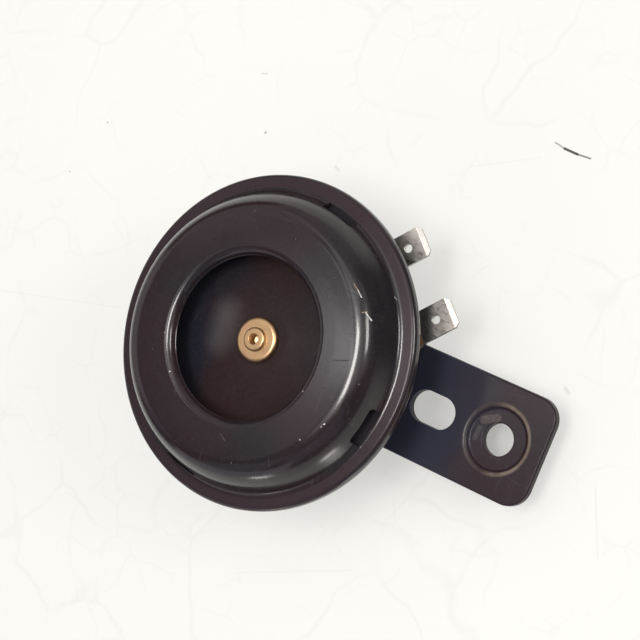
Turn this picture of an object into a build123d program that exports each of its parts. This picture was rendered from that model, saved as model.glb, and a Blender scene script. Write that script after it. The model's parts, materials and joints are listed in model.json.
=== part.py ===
from build123d import *
import math
import os

# Electric disc horn, about 66 mm across, with a flat strap bracket and two 6.3 mm blade terminals.
# Horn frame while modelling: +Z along the horn's axis, out of the mouth; z = 0 is the front of the crimped rim;
# +X runs along the bracket, from the stud to the bracket's bolt hole.
# Everything is moved at the end, so that the origin is the centre of the bracket's bolt hole, on the face that
# lies against the vehicle.

# ---------------------------------------------------------------- driving dimensions, mm
RIM_R = 33.0            # outside radius of the crimped rim
SHEET = 0.7             # rear housing sheet
COVER_T = 0.6           # front cover sheet
DIA_T = 0.3             # diaphragm sheet
GASKET_T = 0.3
STACK_R = 31.85         # outside radius of what the crimp holds
LIP_R = 30.1            # inner edge of the crimp, behind the rim

FOOT_R = 29.75          # front cover wall, where it meets the rim
DOME_Z = 7.62           # top of the front cover
DOME_R = 4.3            # shoulder radius
WALL_TOP_R = 25.36     # corner of the shoulder, before rounding
WALL_MID = (27.82, 4.92)    # corner where the wall steepens, before rounding
WALL_R = 10.4           # its radius
MOUTH_R = 16.05         # mouth radius, at the cut edge of the rolled lip
MOUTH_Z = 5.9           # cut edge of the rolled lip
LIP_ROLL = 1.65         # radius of the roll
SLOT_N = 4              # sound slots at the foot of the wall
SLOT_A0 = -12.6
SLOT_W = 7.7
SLOT_TOP = 2.55         # upper edge, above the rim's face
SLOT_CORNER = 0.9
SLOT_LOW = -0.4          # lower edge, and how far out it reaches into the fillet at the wall's foot
SLOT_OUT = 29.95

DIA_Z = 1.2             # front of the diaphragm's centre land
WASHER_R = 4.5
WASHER_T = 1.25
SPIGOT_R = 2.25
BOSS_R = 2.35
BOSS_Z = 3.25
BOSS_HOLE_R = 1.05

PAN_R = 27.3            # rear pan, outside
PAN_Z = -9.6            # rear face of the pan's floor
CUP_R = 19.0            # coil cup, outside
CUP_Z = -17.98          # rear face of the coil cup

ARM_R = 5.0             # soft-iron armature
ARM_END_Z = -11.0
CORE_TOP_Z = -11.8
COLLAR_R = 7.2
STUD_R = 4.0            # M8 stud

BR_Z = -18.0            # front face of the bracket
BR_T = 2.0
BR_W = 22.0
BR_END = 55.6
BR_CORNER = 4.5
HOLE_X = 45.6
HOLE_R = 3.2            # M6 clearance hole
DIMPLE_R = 6.6
DIMPLE_LAND = 5.95
DIMPLE_D = 0.9
BOSS_LAND = 4.75         # the dimple's boss on the rear: its seat face, and its foot
BOSS_FOOT = 5.95
SLOT_X = 30.9           # slot in the bracket
SLOT_L = 10.0
SLOT_WIDE = 6.5
PIVOT_R = 4.08          # bracket's hole on the stud

NUT_AF = 13.0
NUT_H = 6.5
LOCK_T = 1.6

BLADE_W = 6.3           # blade terminals, 6.3 x 0.8 mm
BLADE_T = 0.8
BLADE_Z = -9.8          # front face of the blades
BLADE_DIR = 47.2        # direction of both blades, from +X
BLADE_TIP = 35.55
BLADE_BEND = 27.4
BLADE_HOLE = 31.5
BLADE_HOLE_R = 0.85
TERM_BASE_Z = -11.3
TERM_T = {"terminal_upper": 6.1, "terminal_lower": -9.3}
RIVET_S = {"terminal_upper": 22.2, "terminal_lower": 20.9}   # rivets, along the blade direction

SCREW_A, SCREW_AT = 200.0, 23.2
SCREW_R = 2.0
SCREW_BORE = 2.05
CONTACT_A = 225.0       # direction of the contact set, from +X

NAMES = {}


# ---------------------------------------------------------------- helpers
def corners(pts):
    """Lines and tangent arcs through (r, z, corner radius) points: a list of ('L', a, b) and ('A', a, mid, b)."""
    out, last = [], (pts[0][0], pts[0][1])
    for i in range(1, len(pts) - 1):
        p0, p1, p2 = pts[i - 1], pts[i], pts[i + 1]
        rad = p1[2] if len(p1) > 2 else 0
        if rad <= 1e-6:
            out.append(("L", last, (p1[0], p1[1])))
            last = (p1[0], p1[1])
            continue
        a = (p0[0] - p1[0], p0[1] - p1[1])
        b = (p2[0] - p1[0], p2[1] - p1[1])
        la, lb = math.hypot(*a), math.hypot(*b)
        a, b = (a[0] / la, a[1] / la), (b[0] / lb, b[1] / lb)
        half = math.acos(max(-1, min(1, a[0] * b[0] + a[1] * b[1]))) / 2
        back = rad / math.tan(half)
        t0 = (p1[0] + a[0] * back, p1[1] + a[1] * back)
        t1 = (p1[0] + b[0] * back, p1[1] + b[1] * back)
        m = (a[0] + b[0], a[1] + b[1])
        lm = math.hypot(*m)
        far = rad / math.sin(half)
        mid = (p1[0] + m[0] / lm * (far - rad), p1[1] + m[1] / lm * (far - rad))
        if math.dist(last, t0) > 1e-5:
            out.append(("L", last, t0))
        out.append(("A", t0, mid, t1))
        last = t1
    end = (pts[-1][0], pts[-1][1])
    if math.dist(last, end) > 1e-5:
        out.append(("L", last, end))
    return out


def moved_path(pts, t, side):
    """The same path moved sideways by t: side +1 is to the left of the way it runs, -1 to the right."""
    def line(p, q):
        d = (q[0] - p[0], q[1] - p[1])
        n = math.hypot(*d)
        d = (d[0] / n, d[1] / n)
        s = (-d[1] * t * side, d[0] * t * side)
        return (p[0] + s[0], p[1] + s[1]), d

    out = []
    for i, p in enumerate(pts):
        rad = p[2] if len(p) > 2 else 0
        if i == 0:
            q, _ = line(p, pts[1])
            out.append((q[0], q[1], 0))
        elif i == len(pts) - 1:
            q, d = line(pts[i - 1], p)
            n = math.dist(pts[i - 1][:2], p[:2])
            out.append((q[0] + d[0] * n, q[1] + d[1] * n, 0))
        else:
            a, da = line(pts[i - 1], p)
            b, db = line(p, pts[i + 1])
            det = da[0] * db[1] - da[1] * db[0]
            k = ((b[0] - a[0]) * db[1] - (b[1] - a[1]) * db[0]) / det
            left = det > 0
            grow = -t if (left and side > 0) or (not left and side < 0) else t
            out.append((a[0] + da[0] * k, a[1] + da[1] * k, max(0, rad + grow) if rad > 0 else 0))
    return out


def wire_edges(segs):
    edges = []
    for s in segs:
        p = [Vector(q[0], 0, q[1]) for q in s[1:]]
        edges.append(Edge.make_line(*p) if s[0] == "L" else Edge.make_three_point_arc(*p))
    return edges


def lathe(pts):
    """A turned solid from a closed profile of (r, z, corner radius) points."""
    n = len(pts)
    start = ((pts[0][0] + pts[-1][0]) / 2, (pts[0][1] + pts[-1][1]) / 2)
    segs = corners([start, *pts, start])
    return Solid.revolve(Face(Wire(wire_edges(segs))), 360, Axis.Z)


def pressed(pts, t, side):
    """A turned sheet of thickness t, from the path of one of its faces."""
    other = moved_path(pts, t, side)
    one, two = corners(pts), corners(other[::-1])
    segs = [*one, ("L", one[-1][-1], two[0][1]), *two, ("L", two[-1][-1], one[0][1])]
    return Solid.revolve(Face(Wire(wire_edges(segs))), 360, Axis.Z)


def ring(r0, r1, z0, z1):
    s = Cylinder(r1, z1 - z0, align=(Align.CENTER, Align.CENTER, Align.MIN))
    if r0:
        s -= Cylinder(r0, z1 - z0, align=(Align.CENTER, Align.CENTER, Align.MIN))
    return Pos(0, 0, z0) * s


def rod(x, y, r, z0, z1):
    return Pos(x, y, z0) * Cylinder(r, z1 - z0, align=(Align.CENTER, Align.CENTER, Align.MIN))


def at(r, deg):
    a = math.radians(deg)
    return r * math.cos(a), r * math.sin(a)


def turned(deg):
    return Rot(0, 0, deg)


def save(name, shape):
    shape = Pos(-HOLE_X, 0, -(BR_Z - BR_T - DIMPLE_D)) * shape
    solids = shape.solids()
    NAMES[name] = solids
    out = solids[0] if len(solids) == 1 else Compound(children=list(solids))
    export_step(out, f"parts/{name}.step")


os.makedirs("parts", exist_ok=True)

# ---------------------------------------------------------------- rim stack
Z_DIA = -COVER_T - GASKET_T             # front of the diaphragm's edge
Z_FLANGE = Z_DIA - DIA_T - GASKET_T     # front of the housing's flange
Z_FLANGE_REAR = Z_FLANGE - SHEET
RIM_Z = Z_FLANGE_REAR - COVER_T         # rear of the rim
PAN_IN_Z = PAN_Z + SHEET
CUP_IN_Z = CUP_Z + SHEET

# Rear housing: one deep-drawn sheet, with a flat flange that the front cover's rim is folded over.
housing = pressed(
    [
        (STACK_R, Z_FLANGE_REAR), (PAN_R, Z_FLANGE_REAR, 0.8),
        (PAN_R - 0.4, PAN_Z, 1.5), (CUP_R, PAN_Z, 0.6), (CUP_R, CUP_Z, 2.0), (STUD_R + 0.1, CUP_Z),
    ],
    SHEET, -1,
)
riv = {}
for name, t in TERM_T.items():
    c, s = math.cos(math.radians(BLADE_DIR)), math.sin(math.radians(BLADE_DIR))
    riv[name] = (RIVET_S[name] * c - t * s, RIVET_S[name] * s + t * c)
sx, sy = at(SCREW_AT, SCREW_A)
kx, ky = at(22.8, CONTACT_A)
for x, y, r in [(*p, 2.4) for p in riv.values()] + [(sx, sy, 2.5), (kx, ky, 1.4)]:
    housing -= rod(x, y, r, PAN_Z - 1, PAN_IN_Z + 1)
save("rear_housing", housing)

# Front cover: pressed bell with a rolled mouth and four sound slots, its rim folded over behind the housing's flange.
cover = pressed(
    [
        (LIP_R, RIM_Z), (RIM_R, RIM_Z, 0.95), (RIM_R, 0, 1.05), (FOOT_R, 0, 1.3), (*WALL_MID, WALL_R), (WALL_TOP_R, DOME_Z, DOME_R),
        (MOUTH_R + 0.05, DOME_Z, LIP_ROLL), (MOUTH_R, MOUTH_Z),
    ],
    COVER_T, 1,
)
for i in range(SLOT_N):
    block = Box(SLOT_OUT - 26.1, SLOT_W, SLOT_TOP - SLOT_LOW, align=(Align.MIN, Align.CENTER, Align.MIN))
    tops = [e for e in block.edges().filter_by(Axis.X) if e.center().Z > 1]
    block = fillet(tops, SLOT_CORNER)
    cover -= turned(SLOT_A0 + 90 * i) * Pos(26.1, 0, SLOT_LOW) * block
save("front_cover", cover)

save("front_gasket", ring(30.9, STACK_R, Z_DIA, -COVER_T))
save("rear_gasket", ring(28.2, STACK_R, Z_FLANGE, Z_DIA - DIA_T))

# Diaphragm: spring-steel disc, one bead near the edge, a shallow cone and a flat centre land.
diaphragm = pressed(
    [
        (STACK_R, Z_DIA), (27.0, Z_DIA, 0.5), (26.0, Z_DIA + 0.75, 0.7), (25.0, Z_DIA + 0.1, 0.5),
        (23.4, Z_DIA + 0.15, 6.0), (6.3, DIA_Z, 4.0), (SPIGOT_R, DIA_Z),
    ],
    DIA_T, 1,
)
save("diaphragm", diaphragm)

# ---------------------------------------------------------------- armature
BACK_T = 0.8
BACK_Z = DIA_Z - DIA_T - BACK_T
WASHER_Z = DIA_Z + WASHER_T
save(
    "armature_washer",
    lathe([(SPIGOT_R, DIA_Z), (WASHER_R, DIA_Z, 0.25), (WASHER_R, WASHER_Z, 0.75), (SPIGOT_R, WASHER_Z)]),
)
save("armature_backing_washer", ring(SPIGOT_R, 6.0, BACK_Z, DIA_Z - DIA_T))
ARM_TOP_Z = -4.65       # front face of the moving contact's leaf
armature = lathe(
    [
        (0, ARM_END_Z), (ARM_R, ARM_END_Z, 0.4), (ARM_R, ARM_TOP_Z + 0.02), (COLLAR_R, ARM_TOP_Z + 0.02, 0.2),
        (COLLAR_R, ARM_TOP_Z + 0.9, 0.2), (ARM_R, ARM_TOP_Z + 0.9), (ARM_R, BACK_Z), (SPIGOT_R, BACK_Z),
        (SPIGOT_R, WASHER_Z), (BOSS_R, WASHER_Z), (BOSS_R, BOSS_Z, 0.45), (BOSS_HOLE_R, BOSS_Z, 0.12),
        (BOSS_HOLE_R, BOSS_Z - 2.2), (0, BOSS_Z - 2.5),
    ]
)
save("armature", armature)

# ---------------------------------------------------------------- coil
core = lathe(
    [
        (0, CORE_TOP_Z), (ARM_R, CORE_TOP_Z, 0.4), (ARM_R, CUP_IN_Z), (STUD_R, CUP_IN_Z),
        (STUD_R, BR_Z - BR_T - 0.02 - LOCK_T - NUT_H + 1.0), (STUD_R - 0.8, BR_Z - BR_T - 0.02 - LOCK_T - NUT_H + 0.2),
        (0, BR_Z - BR_T - 0.02 - LOCK_T - NUT_H + 0.2),
    ]
)
save("core_stud", core)
LEAD_A, LEAD_B, LEAD_AT = 92.0, 264.0, 14.6
bobbin = lathe(
    [
        (5.3, CUP_IN_Z), (16.9, CUP_IN_Z), (16.9, CUP_IN_Z + 0.9), (6.1, CUP_IN_Z + 0.9),
        (6.1, PAN_IN_Z - 0.9), (17.6, PAN_IN_Z - 0.9), (17.6, PAN_IN_Z), (5.3, PAN_IN_Z),
    ]
)
plate = ring(5.5, 18.9, PAN_IN_Z, PAN_IN_Z + 1.2) + ring(18.0, 20.4, PAN_IN_Z, PAN_IN_Z + 1.2)
for a in (LEAD_A, LEAD_B):
    x, y = at(LEAD_AT, a)
    bobbin -= rod(x, y, 1.0, PAN_IN_Z - 1.5, PAN_IN_Z + 1)
    plate -= rod(x, y, 1.3, PAN_IN_Z - 1, PAN_IN_Z + 2)
for x, y, r in [(*p, 2.7) for p in riv.values()] + [(sx, sy, 2.8)]:
    plate -= rod(x, y, r, PAN_IN_Z - 1, PAN_IN_Z + 2)
save("coil_bobbin", bobbin)
save("pole_plate", plate)
save("coil_winding", ring(6.1, 15.8, CUP_IN_Z + 0.9, PAN_IN_Z - 0.9))

# ---------------------------------------------------------------- contact set
LEAF_T, FIX_T = 0.3, 0.7
LEAF_Z = ARM_TOP_Z - LEAF_T
FIX_Z = -3.65
KNEE = turned(CONTACT_A)


def strip(x0, x1, y0, y1, z0, z1):
    return Pos((x0 + x1) / 2, (y0 + y1) / 2, z0) * Box(x1 - x0, y1 - y0, z1 - z0, align=(Align.CENTER, Align.CENTER, Align.MIN))


def taper(points, z0, z1):
    return Pos(0, 0, z0) * extrude(Face(Wire.make_polygon([Vector(x, y, 0) for x, y in points], close=True)), z1 - z0, dir=(0, 0, 1))


PIN = rod(22.8, 0, 1.4, -20, 5)
block = strip(20.9, 25.0, -4.0, 4.0, PAN_IN_Z, LEAF_Z) - PIN
spacer = strip(20.9, 25.0, -4.0, 4.0, ARM_TOP_Z, FIX_Z) - PIN
save("contact_insulator_block", KNEE * block)
save("contact_insulator_spacer", KNEE * spacer)
CONTACT_AT = 17.2
leaf = taper([(5.4, -2.6), (5.4, 2.6), (20.9, 3.6), (21.2, 3.6), (21.2, 6.6), (23.4, 6.6), (23.4, 3.6), (25.0, 3.6), (25.0, -3.6), (20.9, -3.6)], LEAF_Z, ARM_TOP_Z)
leaf -= PIN
leaf -= rod(CONTACT_AT, 0, 0.9, -20, 5)
save("contact_leaf", KNEE * leaf)
fixed = taper([(15.4, -2.4), (15.4, 2.4), (20.9, 3.8), (23.6, 3.8), (23.6, 6.9), (25.4, 6.6), (25.0, 3.8), (25.0, -3.8), (20.9, -3.8)], FIX_Z, FIX_Z + FIX_T)
# wing towards the tone screw
wx, wy = at(SCREW_AT, SCREW_A - CONTACT_A)
wing = taper([(20.6, -3.0), (25.0, -3.0), (wx + 2.4, wy), (wx - 2.4, wy)], FIX_Z, FIX_Z + FIX_T) + rod(wx, wy, 2.4, FIX_Z, FIX_Z + FIX_T)
fixed = fixed + wing - PIN - rod(CONTACT_AT, 0, 0.9, -20, 5)
save("fixed_contact_plate", KNEE * fixed)
GAP = 0.02
mid = (FIX_Z + ARM_TOP_Z) / 2
save(
    "fixed_contact",
    KNEE * Pos(CONTACT_AT, 0, 0) * lathe([(0, mid + GAP / 2), (1.6, mid + GAP / 2, 0.15), (1.6, FIX_Z), (0.9, FIX_Z), (0.9, FIX_Z + FIX_T), (1.3, FIX_Z + FIX_T), (1.3, FIX_Z + FIX_T + 0.25, 0.1), (0, FIX_Z + FIX_T + 0.25)]),
)
save(
    "moving_contact",
    KNEE * Pos(CONTACT_AT, 0, 0) * lathe([(0, LEAF_Z - 0.3), (1.3, LEAF_Z - 0.3, 0.1), (1.3, LEAF_Z), (0.9, LEAF_Z), (0.9, ARM_TOP_Z), (1.6, ARM_TOP_Z), (1.6, mid - GAP / 2, 0.15), (0, mid - GAP / 2)]),
)
top = FIX_Z + FIX_T
save(
    "contact_rivet",
    KNEE * Pos(22.8, 0, 0) * lathe([(0, PAN_Z - 0.9), (1.6, PAN_Z - 0.9, 0.5), (2.4, PAN_Z, 0.1), (1.4, PAN_Z), (1.4, top), (2.2, top), (2.2, top + 0.6, 0.4), (0, top + 0.6)]),
)

# ---------------------------------------------------------------- tone screw and its bush
save(
    "screw_bush",
    Pos(sx, sy, 0) * lathe([(SCREW_BORE, PAN_Z - 0.9), (3.3, PAN_Z - 0.9, 0.2), (3.3, PAN_Z), (2.5, PAN_Z), (2.5, PAN_IN_Z + 1.2, 0.15), (SCREW_BORE, PAN_IN_Z + 1.2)]),
)
HEAD_Z = PAN_Z - 1.9
hexa = extrude(RegularPolygon(3.25, 6, major_radius=False), 2.6)
head = Pos(0, 0, HEAD_Z - 2.6) * hexa
head &= lathe([(0, HEAD_Z - 2.6), (3.2, HEAD_Z - 2.6), (3.85, HEAD_Z - 2.2), (3.85, HEAD_Z), (0, HEAD_Z)])
head -= Pos(0, 0, HEAD_Z - 2.6) * Box(10, 1.0, 1.3, align=(Align.CENTER, Align.CENTER, Align.MIN))
screw = head + lathe([(0, HEAD_Z), (SCREW_R, HEAD_Z), (SCREW_R, -4.4), (1.3, FIX_Z - 0.02), (0, FIX_Z - 0.02)])
save("tone_screw", Pos(sx, sy, 0) * Rot(0, 0, 25) * screw)

# ---------------------------------------------------------------- terminals
def sector(r0, r1, a0, a1, z0, z1, corner):
    pts = [at(r0, a0), at(r1, a0)]
    m = (a0 + a1) / 2
    edges = [
        Edge.make_line(Vector(*at(r0, a0)), Vector(*at(r1, a0))),
        Edge.make_three_point_arc(Vector(*at(r1, a0)), Vector(*at(r1, m)), Vector(*at(r1, a1))),
        Edge.make_line(Vector(*at(r1, a1)), Vector(*at(r0, a1))),
        Edge.make_three_point_arc(Vector(*at(r0, a1)), Vector(*at(r0, m)), Vector(*at(r0, a0))),
    ]
    s = Pos(0, 0, z0) * extrude(Face(Wire(edges)), z1 - z0, dir=(0, 0, 1))
    return fillet(s.edges().filter_by(Axis.Z), corner)


outer_ins = strip(16.6, BLADE_BEND - 1.8, -13.4, 10.2, TERM_BASE_Z, PAN_Z)
outer_ins = fillet([e for e in outer_ins.edges().filter_by(Axis.Z) if e.center().X > 20], 1.5)
outer_ins = turned(BLADE_DIR) * outer_ins - ring(0, CUP_R + 0.7, TERM_BASE_Z - 1, PAN_Z + 1)
inner_ins = sector(20.9, 25.1, 9.0, 78.0, PAN_IN_Z, PAN_IN_Z + 1.1, 1.0)
rivets = None
for name, t in TERM_T.items():
    x, y = riv[name]
    rs, base = RIVET_S[name], RIVET_S[name] - 2.6
    outer_ins -= rod(x, y, 1.5, -30, 5)
    inner_ins -= rod(x, y, 1.5, -30, 5)
    # blade profile, along the blade direction
    z0, z1 = TERM_BASE_Z, BLADE_Z
    front = [(base, z0), (BLADE_BEND - (z1 - z0) * 0.9, z0, 0.6), (BLADE_BEND, z1, 0.6), (BLADE_TIP, z1)]
    back = moved_path(front, BLADE_T, -1)
    one, two = corners(front), corners(back[::-1])
    segs = [*one, ("L", one[-1][-1], two[0][1]), *two, ("L", two[-1][-1], one[0][1])]
    blade = extrude(Face(Wire(wire_edges(segs))), BLADE_W / 2, dir=(0, 1, 0), both=True)
    # bevelled tip with cut corners
    h = BLADE_W / 2
    outline = taper([(base, -h + 0.8), (base + 0.8, -h), (BLADE_TIP - 0.9, -h), (BLADE_TIP, -h + 0.75), (BLADE_TIP, h - 0.75), (BLADE_TIP - 0.9, h), (base + 0.8, h), (base, h - 0.8)], -14, -8)
    blade = blade & outline
    for zc, flip in ((BLADE_Z, 1), (BLADE_Z - BLADE_T, -1)):
        wedge = Face(Wire.make_polygon([Vector(BLADE_TIP - 1.05, 0, zc), Vector(BLADE_TIP + 0.2, 0, zc - flip * 0.345), Vector(BLADE_TIP + 0.2, 0, zc + flip), Vector(BLADE_TIP - 1.05, 0, zc + flip)], close=True))
        blade -= extrude(wedge, 6, dir=(0, 1, 0), both=True)
    blade -= rod(BLADE_HOLE, 0, BLADE_HOLE_R, -14, -8)
    blade -= rod(rs, 0, 1.5, -14, -8)
    blade = turned(BLADE_DIR) * Pos(0, t, 0) * blade
    save(name, blade)
    tb = TERM_BASE_Z - BLADE_T
    ti = PAN_IN_Z + 1.1
    rv = Pos(x, y, 0) * lathe([(0, tb - 1.0), (1.4, tb - 1.0, 0.6), (2.5, tb, 0.1), (1.5, tb), (1.5, ti), (2.4, ti), (2.4, ti + 0.9, 0.35), (0, ti + 0.9)])
    rivets = rv if rivets is None else Compound(children=[*rivets.solids(), *rv.solids()])
save("terminal_insulator_outer", outer_ins)
save("terminal_insulator_inner", inner_ins)
save("terminal_rivets", rivets)


# ---------------------------------------------------------------- inner leads, 1 mm insulated wire
def lead(points, radius=1.2, r=0.5):
    pts = [Vector(*p) for p in points]
    path = FilletPolyline(*pts, radius=radius)
    d = (pts[1] - pts[0]).normalized()
    return sweep(Plane(origin=pts[0], z_dir=d) * Circle(r), path=path)


ti = PAN_IN_Z + 1.1 + 0.9
ux, uy = riv["terminal_upper"]
lx, ly = riv["terminal_lower"]
ax, ay = at(LEAD_AT, LEAD_A)
bx, by = at(LEAD_AT, LEAD_B)
zl = PAN_IN_Z - 0.9
save("lead_coil_to_terminal", lead([(ax, ay, zl), (ax, ay, -5.2), (*at(19.5, 78), -5.2), (ux, uy, -5.2), (ux, uy, ti)], 1.0))
p1 = KNEE * Pos(22.3, 5.4, 0)
q = p1.position
save("lead_coil_to_contact", lead([(bx, by, zl), (bx, by, -6.6), (q.X, q.Y, -6.9), (q.X, q.Y, LEAF_Z)], 1.0))
p2 = KNEE * Pos(24.5, 5.9, 0)
q2 = p2.position
run = [(q2.X, q2.Y, FIX_Z), (q2.X, q2.Y, -6.0)]
for a in (262, 283, 304, 325, 346, 6):
    run.append((*at(23.7, a), -6.0))
run += [(lx, ly, -5.4), (lx, ly, ti)]
save("lead_contact_to_terminal", lead(run, 1.0))

# ---------------------------------------------------------------- bracket
hw = BR_W / 2
outline = Face(
    Wire(
        [
            Edge.make_three_point_arc(Vector(0, hw), Vector(-hw, 0), Vector(0, -hw)),
            Edge.make_line(Vector(0, -hw), Vector(BR_END - BR_CORNER, -hw)),
            Edge.make_three_point_arc(
                Vector(BR_END - BR_CORNER, -hw),
                Vector(BR_END - BR_CORNER * (1 - math.sqrt(0.5)), -hw + BR_CORNER * (1 - math.sqrt(0.5))),
                Vector(BR_END, -hw + BR_CORNER),
            ),
            Edge.make_line(Vector(BR_END, -hw + BR_CORNER), Vector(BR_END, hw - BR_CORNER)),
            Edge.make_three_point_arc(
                Vector(BR_END, hw - BR_CORNER),
                Vector(BR_END - BR_CORNER * (1 - math.sqrt(0.5)), hw - BR_CORNER * (1 - math.sqrt(0.5))),
                Vector(BR_END - BR_CORNER, hw),
            ),
            Edge.make_line(Vector(BR_END - BR_CORNER, hw), Vector(0, hw)),
        ]
    )
)
bracket = Pos(0, 0, BR_Z - BR_T) * extrude(outline, BR_T, dir=(0, 0, 1))
# blanked edges, slightly rounded on the front
edge_ring = [e for e in bracket.edges() if abs(e.center().Z - BR_Z) < 1e-6]
bracket = fillet(edge_ring, 0.45)
edge_ring = [e for e in bracket.edges() if abs(e.center().Z - (BR_Z - BR_T)) < 1e-6]
bracket = fillet(edge_ring, 0.2)
# pressed dimple: a land round the hole, set back by DIMPLE_D, with its own boss on the rear
boss = Pos(HOLE_X, 0, 0) * lathe([(0, BR_Z - BR_T - DIMPLE_D), (BOSS_LAND, BR_Z - BR_T - DIMPLE_D, 0.5), (BOSS_FOOT, BR_Z - BR_T + 0.0), (BOSS_FOOT, BR_Z - 1.0), (0, BR_Z - 1.0)])
dip = Pos(HOLE_X, 0, 0) * lathe([(0, BR_Z - DIMPLE_D), (DIMPLE_LAND, BR_Z - DIMPLE_D, 0.42), (DIMPLE_R, BR_Z, 0.55), (DIMPLE_R + 1.0, BR_Z + 0.02), (DIMPLE_R + 1.0, BR_Z + 0.5), (0, BR_Z + 0.5)])
bracket = bracket + boss - dip
bracket -= rod(HOLE_X, 0, HOLE_R, -30, -10)
slot = Pos(SLOT_X, 0, -30) * extrude(SlotOverall(SLOT_L, SLOT_WIDE), 20)
bracket -= slot
bracket -= rod(0, 0, PIVOT_R, -30, -10)
save("bracket", bracket)

# ---------------------------------------------------------------- nut and lock washer
LW_Z = BR_Z - BR_T - 0.02 - LOCK_T
lock = ring(STUD_R + 0.15, 6.7, LW_Z, LW_Z + LOCK_T)
lock -= turned(140) * Pos(5.4, 0, LW_Z + LOCK_T / 2) * Rot(38, 0, 0) * Box(6, 0.7, 6)
save("lock_washer", lock)
NUT_Z = LW_Z - NUT_H
nut = Pos(0, 0, NUT_Z) * extrude(RegularPolygon(NUT_AF / 2, 6, major_radius=False), NUT_H)
nut &= lathe([(0, NUT_Z), (NUT_AF / 2 - 0.1, NUT_Z), (NUT_AF / 2 + 1.3, NUT_Z + 0.85), (NUT_AF / 2 + 1.3, NUT_Z + NUT_H - 0.85), (NUT_AF / 2 - 0.1, NUT_Z + NUT_H), (0, NUT_Z + NUT_H)])
nut -= rod(0, 0, STUD_R, -40, -10)
save("bracket_nut", Rot(0, 0, 17) * nut)

for name, solids in NAMES.items():
    print(name, len(solids), round(sum(s.volume for s in solids), 1))
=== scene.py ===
import json
import math
import random

import bmesh
import bpy
import numpy as np
from mathutils import Matrix, Vector


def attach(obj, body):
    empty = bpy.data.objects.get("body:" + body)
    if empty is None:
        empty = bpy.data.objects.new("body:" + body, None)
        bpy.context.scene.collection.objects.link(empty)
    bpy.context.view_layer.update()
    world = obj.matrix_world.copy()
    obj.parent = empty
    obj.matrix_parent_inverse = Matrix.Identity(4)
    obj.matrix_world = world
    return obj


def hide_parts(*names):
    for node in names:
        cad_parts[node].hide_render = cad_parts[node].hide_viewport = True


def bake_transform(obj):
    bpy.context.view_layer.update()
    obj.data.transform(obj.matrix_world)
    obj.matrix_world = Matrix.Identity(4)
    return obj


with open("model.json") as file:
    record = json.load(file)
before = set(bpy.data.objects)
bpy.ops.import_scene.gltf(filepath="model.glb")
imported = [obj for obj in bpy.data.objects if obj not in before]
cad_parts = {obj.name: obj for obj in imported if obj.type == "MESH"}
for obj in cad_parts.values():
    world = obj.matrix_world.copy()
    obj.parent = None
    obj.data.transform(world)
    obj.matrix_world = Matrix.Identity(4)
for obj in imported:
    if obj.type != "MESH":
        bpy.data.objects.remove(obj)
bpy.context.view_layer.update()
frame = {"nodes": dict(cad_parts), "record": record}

random.seed(7)
NODES = frame["nodes"]
BODY_OF = {n: b for b, ns in frame["record"]["behaviour"]["bodies"].items() for n in ns}

# ------------------------------------------------------------------ frame
# Shapes are worked out in the horn's own frame, in millimetres: +Z out of the mouth, z = 0 at the front of the rim,
# +X along the bracket. The row frame has its origin in the bracket's bolt hole.
HX, HZ = 45.6, 20.9


def row(p):
    return Vector(((p[0] - HX) / 1000, p[1] / 1000, (p[2] + HZ) / 1000))


def row_array(a):
    a = np.asarray(a, float)
    return (a + np.array([-HX, 0, HZ])) / 1000


# ------------------------------------------------------------------ profiles
def rounded(pts, closed, step=7.0):
    """Points (r, z, corner radius) -> dense points and unit normals, to the right of the way the path runs."""
    n = len(pts)
    pos, nor = [], []

    def add(p, t):
        q = (t[1], -t[0])
        if pos and math.dist(pos[-1], p) < 1e-6:
            return
        pos.append(p)
        nor.append(q)

    def unit(a, b):
        d = (b[0] - a[0], b[1] - a[1])
        m = math.hypot(*d)
        return (d[0] / m, d[1] / m)

    order = range(n) if closed else range(1, n - 1)
    if not closed:
        add((pts[0][0], pts[0][1]), unit(pts[0], pts[1]))
    for i in order:
        p0, p1, p2 = pts[i - 1], pts[i], pts[(i + 1) % n]
        rad = p1[2] if len(p1) > 2 else 0
        d0, d1 = unit(p0, p1), unit(p1, p2)
        cross = d0[0] * d1[1] - d0[1] * d1[0]
        dot = max(-1, min(1, d0[0] * d1[0] + d0[1] * d1[1]))
        turn = math.acos(dot)
        if rad <= 1e-6 or turn < 1e-4:
            add((p1[0], p1[1]), unit((0, 0), (d0[0] + d1[0], d0[1] + d1[1])))
            continue
        back = rad * math.tan(turn / 2)
        a = (p1[0] - d0[0] * back, p1[1] - d0[1] * back)
        side = 1 if cross > 0 else -1
        c = (a[0] - d0[1] * rad * side, a[1] + d0[0] * rad * side)
        k = max(2, int(math.ceil(math.degrees(turn) / step)))
        for j in range(k + 1):
            w = turn * j / k * side
            t = (d0[0] * math.cos(w) - d0[1] * math.sin(w), d0[0] * math.sin(w) + d0[1] * math.cos(w))
            q = (c[0] + t[1] * rad * side, c[1] - t[0] * rad * side)
            add(q, t)
    if not closed:
        add((pts[-1][0], pts[-1][1]), unit(pts[-2], pts[-1]))
    elif math.dist(pos[0], pos[-1]) < 1e-6:
        pos.pop(), nor.pop()
    return pos, nor


def filled(pos, nor, closed, most):
    """More points on long straight runs, so that no step is longer than most."""
    p, q = [], []
    n = len(pos)
    for i in range(n if closed else n - 1):
        a, b = pos[i], pos[(i + 1) % n]
        na, nb = nor[i], nor[(i + 1) % n]
        k = max(1, int(math.ceil(math.dist(a, b) / most)))
        for j in range(k):
            t = j / k
            p.append((a[0] + (b[0] - a[0]) * t, a[1] + (b[1] - a[1]) * t))
            m = (na[0] + (nb[0] - na[0]) * t, na[1] + (nb[1] - na[1]) * t)
            s = math.hypot(*m) or 1
            q.append((m[0] / s, m[1] / s))
    if not closed:
        p.append(pos[-1])
        q.append(nor[-1])
    return p, q


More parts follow.
